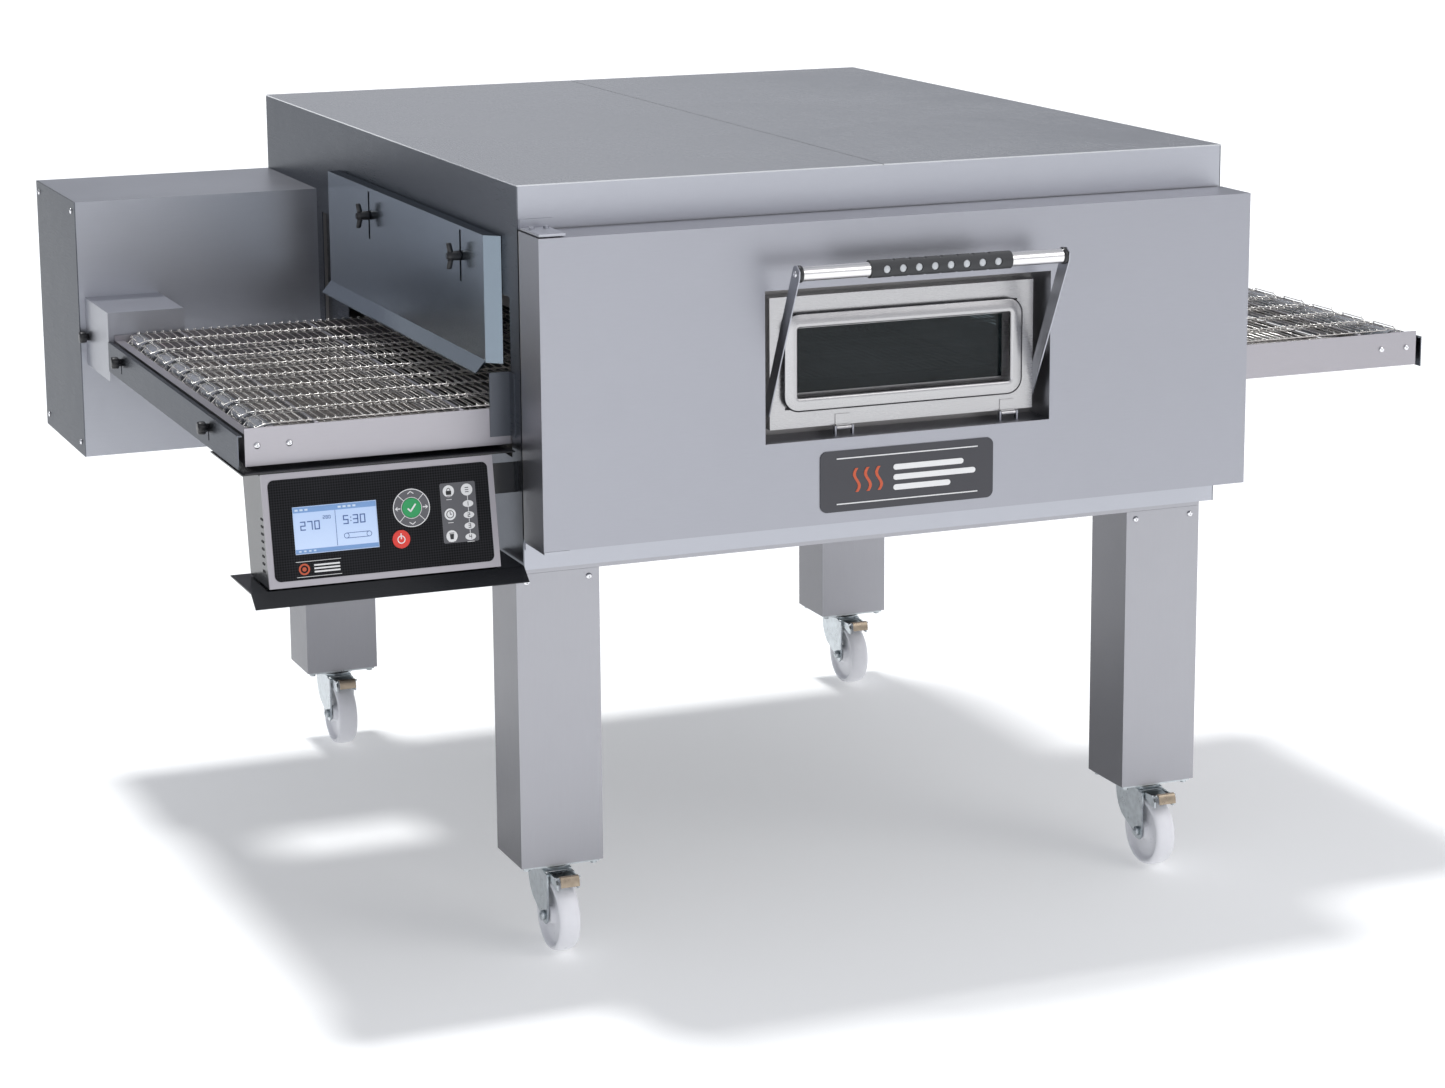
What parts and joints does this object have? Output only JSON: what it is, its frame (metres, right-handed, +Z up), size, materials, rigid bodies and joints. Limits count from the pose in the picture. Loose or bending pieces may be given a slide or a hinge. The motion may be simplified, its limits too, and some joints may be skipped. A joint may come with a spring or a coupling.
{
  "type": "conveyor pizza oven",
  "caption": "Stainless conveyor pizza oven on legs with braked casters; wire belt through the body, side-hinged front door with a drop-down glass hatch, tilted control box.",
  "frame": {"origin": "on the floor, under the middle of the oven's box", "axes": "+X along the conveyor away from the control box, +Y to the back, +Z up"},
  "size_m": [2.216, 1.718, 1.301],
  "materials": {
    "steel": "brushed stainless steel",
    "steel_dark": "brushed stainless steel, side faces",
    "belt_wire": "bright wire, stands for open mesh",
    "polished": "polished tube",
    "zinc": "zinc plated",
    "brake_gold": "yellow passivated steel",
    "nylon": "white nylon",
    "black_plastic": "black plastic",
    "black_sheet": "dark polished sheet",
    "grip": "dark grey rubber",
    "glass": "tinted oven glass",
    "wool": "mineral wool",
    "gasket": "woven heat proof bead",
    "foil": "printed keypad foil",
    "screen": "display",
    "green": "green key",
    "red": "red key",
    "plate": "dark anodised plate",
    "cast": "painted motor casing"
  },
  "bodies": {
    "oven": {"air_ducts": "steel_dark", "back_and_floor": "steel_dark", "baking_chamber": "steel_dark", "cable_gland": "black_plastic", "caster_plates": "zinc", "control_bezel": "steel", "control_housing": "black_sheet", "control_shields": "black_sheet", "conveyor_belt": "belt_wire", "conveyor_frame": "steel", "conveyor_rails": "steel", "coupling_cover": "steel", "display": "screen", "door_pivots": "steel", "electrical_box": "steel", "electrical_box_lid": "steel_dark", "front_frame": "steel", "insulation": "wool", "keypad_overlay": "foil", "motors": "cast", "screws": "polished", "side_panels": "steel_dark", "stand": "steel", "thumb_knobs": "black_plastic", "top_covers": "steel", "tunnel_fittings": "steel_dark"},
    "front_door": {"front_door_shell": "steel", "front_door_liner": "steel_dark", "door_gasket": "gasket", "name_plate": "plate"},
    "hatch": {"hatch_frame": "steel", "hatch_glass": "glass", "handle_arms": "steel", "handle_bar": "polished", "handle_grip": "grip"},
    "entry_baffle": {"entry_baffle": "steel_dark"},
    "exit_baffle": {"exit_baffle": "steel_dark"},
    "wing_knob_1": {"wing_knob_1": "black_plastic"},
    "wing_knob_2": {"wing_knob_2": "black_plastic"},
    "wing_knob_3": {"wing_knob_3": "black_plastic"},
    "wing_knob_4": {"wing_knob_4": "black_plastic"},
    "end_guard_left": {"end_guard_left": "steel_dark"},
    "end_guard_right": {"end_guard_right": "steel_dark"},
    "drive_shaft": {"drive_shaft": "zinc"},
    "idler_shaft": {"idler_shaft": "zinc"},
    "fan": {"fan": "steel_dark"},
    "ok_key": {"ok_key": "green"},
    "start_stop_key": {"start_stop_key": "red"},
    "swivel_fl": {"caster_fork_fl": "zinc"},
    "wheel_fl": {"caster_wheel_fl": "nylon"},
    "pedal_fl": {"brake_pedal_fl": "brake_gold"},
    "swivel_fr": {"caster_fork_fr": "zinc"},
    "wheel_fr": {"caster_wheel_fr": "nylon"},
    "pedal_fr": {"brake_pedal_fr": "brake_gold"},
    "swivel_rl": {"caster_fork_rl": "zinc"},
    "wheel_rl": {"caster_wheel_rl": "nylon"},
    "pedal_rl": {"brake_pedal_rl": "brake_gold"},
    "swivel_rr": {"caster_fork_rr": "zinc"},
    "wheel_rr": {"caster_wheel_rr": "nylon"},
    "pedal_rr": {"brake_pedal_rr": "brake_gold"}
  },
  "joints": [
    {"name": "front_door_hinge", "type": "hinge", "parent": "oven", "child": "front_door", "pos_m": [-0.6155, -0.746, 0.728], "axis": [0, 0, -1], "range_deg": [0, 110]},
    {"name": "hatch_hinge", "type": "hinge", "parent": "front_door", "child": "hatch", "pos_m": [0.0065, -0.737, 0.881], "axis": [1, 0, 0], "range_deg": [0, 85]},
    {"name": "entry_baffle_slide", "type": "slide", "parent": "oven", "child": "entry_baffle", "axis": [0, 0, 1], "range_m": [-0.036, 0.036]},
    {"name": "exit_baffle_slide", "type": "slide", "parent": "oven", "child": "exit_baffle", "axis": [0, 0, 1], "range_m": [-0.036, 0.036]},
    {"name": "wing_knob_1_turn", "type": "hinge", "parent": "oven", "child": "wing_knob_1", "pos_m": [-0.6735, -0.446, 1.161], "axis": [-1, 0, 0], "continuous": true},
    {"name": "wing_knob_2_turn", "type": "hinge", "parent": "oven", "child": "wing_knob_2", "pos_m": [-0.6735, 0.078, 1.161], "axis": [-1, 0, 0], "continuous": true},
    {"name": "wing_knob_3_turn", "type": "hinge", "parent": "oven", "child": "wing_knob_3", "pos_m": [0.6735, -0.446, 1.161], "axis": [1, 0, 0], "continuous": true},
    {"name": "wing_knob_4_turn", "type": "hinge", "parent": "oven", "child": "wing_knob_4", "pos_m": [0.6735, 0.078, 1.161], "axis": [1, 0, 0], "continuous": true},
    {"name": "end_guard_left_slide", "type": "slide", "parent": "oven", "child": "end_guard_left", "axis": [0, 0, 1], "range_m": [0, 0.016]},
    {"name": "end_guard_right_slide", "type": "slide", "parent": "oven", "child": "end_guard_right", "axis": [0, 0, 1], "range_m": [0, 0.016]},
    {"name": "drive_shaft_spin", "type": "hinge", "parent": "oven", "child": "drive_shaft", "pos_m": [-1.0345, -0.166, 0.919], "axis": [0, 1, 0], "continuous": true},
    {"name": "idler_shaft_spin", "type": "hinge", "parent": "oven", "child": "idler_shaft", "pos_m": [1.0345, -0.166, 0.919], "axis": [0, 1, 0], "continuous": true},
    {"name": "fan_spin", "type": "hinge", "parent": "oven", "child": "fan", "pos_m": [0, 0.494, 0.992], "axis": [0, 1, 0], "continuous": true},
    {"name": "caster_fl_swivel", "type": "hinge", "parent": "oven", "child": "swivel_fl", "pos_m": [-0.5635, -0.5595, 0.14], "axis": [0, 0, 1], "continuous": true},
    {"name": "caster_fl_roll", "type": "hinge", "parent": "swivel_fl", "child": "wheel_fl", "pos_m": [-0.5635, -0.5975, 0.0625], "axis": [1, 0, 0], "continuous": true},
    {"name": "caster_fl_brake", "type": "hinge", "parent": "swivel_fl", "child": "pedal_fl", "pos_m": [-0.5635, -0.6055, 0.133], "axis": [1, 0, 0], "range_deg": [-12, 10]},
    {"name": "caster_fr_swivel", "type": "hinge", "parent": "oven", "child": "swivel_fr", "pos_m": [0.5635, -0.5595, 0.14], "axis": [0, 0, 1], "continuous": true},
    {"name": "caster_fr_roll", "type": "hinge", "parent": "swivel_fr", "child": "wheel_fr", "pos_m": [0.5635, -0.5975, 0.0625], "axis": [1, 0, 0], "continuous": true},
    {"name": "caster_fr_brake", "type": "hinge", "parent": "swivel_fr", "child": "pedal_fr", "pos_m": [0.5635, -0.6055, 0.133], "axis": [1, 0, 0], "range_deg": [-12, 10]},
    {"name": "caster_rl_swivel", "type": "hinge", "parent": "oven", "child": "swivel_rl", "pos_m": [-0.5635, 0.7525, 0.14], "axis": [0, 0, 1], "continuous": true},
    {"name": "caster_rl_roll", "type": "hinge", "parent": "swivel_rl", "child": "wheel_rl", "pos_m": [-0.5635, 0.7145, 0.0625], "axis": [1, 0, 0], "continuous": true},
    {"name": "caster_rl_brake", "type": "hinge", "parent": "swivel_rl", "child": "pedal_rl", "pos_m": [-0.5635, 0.7065, 0.133], "axis": [1, 0, 0], "range_deg": [-12, 10]},
    {"name": "caster_rr_swivel", "type": "hinge", "parent": "oven", "child": "swivel_rr", "pos_m": [0.5635, 0.7525, 0.14], "axis": [0, 0, 1], "continuous": true},
    {"name": "caster_rr_roll", "type": "hinge", "parent": "swivel_rr", "child": "wheel_rr", "pos_m": [0.5635, 0.7145, 0.0625], "axis": [1, 0, 0], "continuous": true},
    {"name": "caster_rr_brake", "type": "hinge", "parent": "swivel_rr", "child": "pedal_rr", "pos_m": [0.5635, 0.7065, 0.133], "axis": [1, 0, 0], "range_deg": [-12, 10]},
    {"name": "ok_press", "type": "slide", "parent": "oven", "child": "ok_key", "axis": [0, 0.981, -0.1942], "range_m": [0, 0.0008], "stiffness_N_per_m": 900, "springref_m": -0.0006},
    {"name": "start_stop_press", "type": "slide", "parent": "oven", "child": "start_stop_key", "axis": [0, 0.981, -0.1942], "range_m": [0, 0.0008], "stiffness_N_per_m": 900, "springref_m": -0.0006}
  ],
  "couplings": [
    {"joint": "idler_shaft_spin", "follows": "drive_shaft_spin", "ratio": 1}
  ]
}
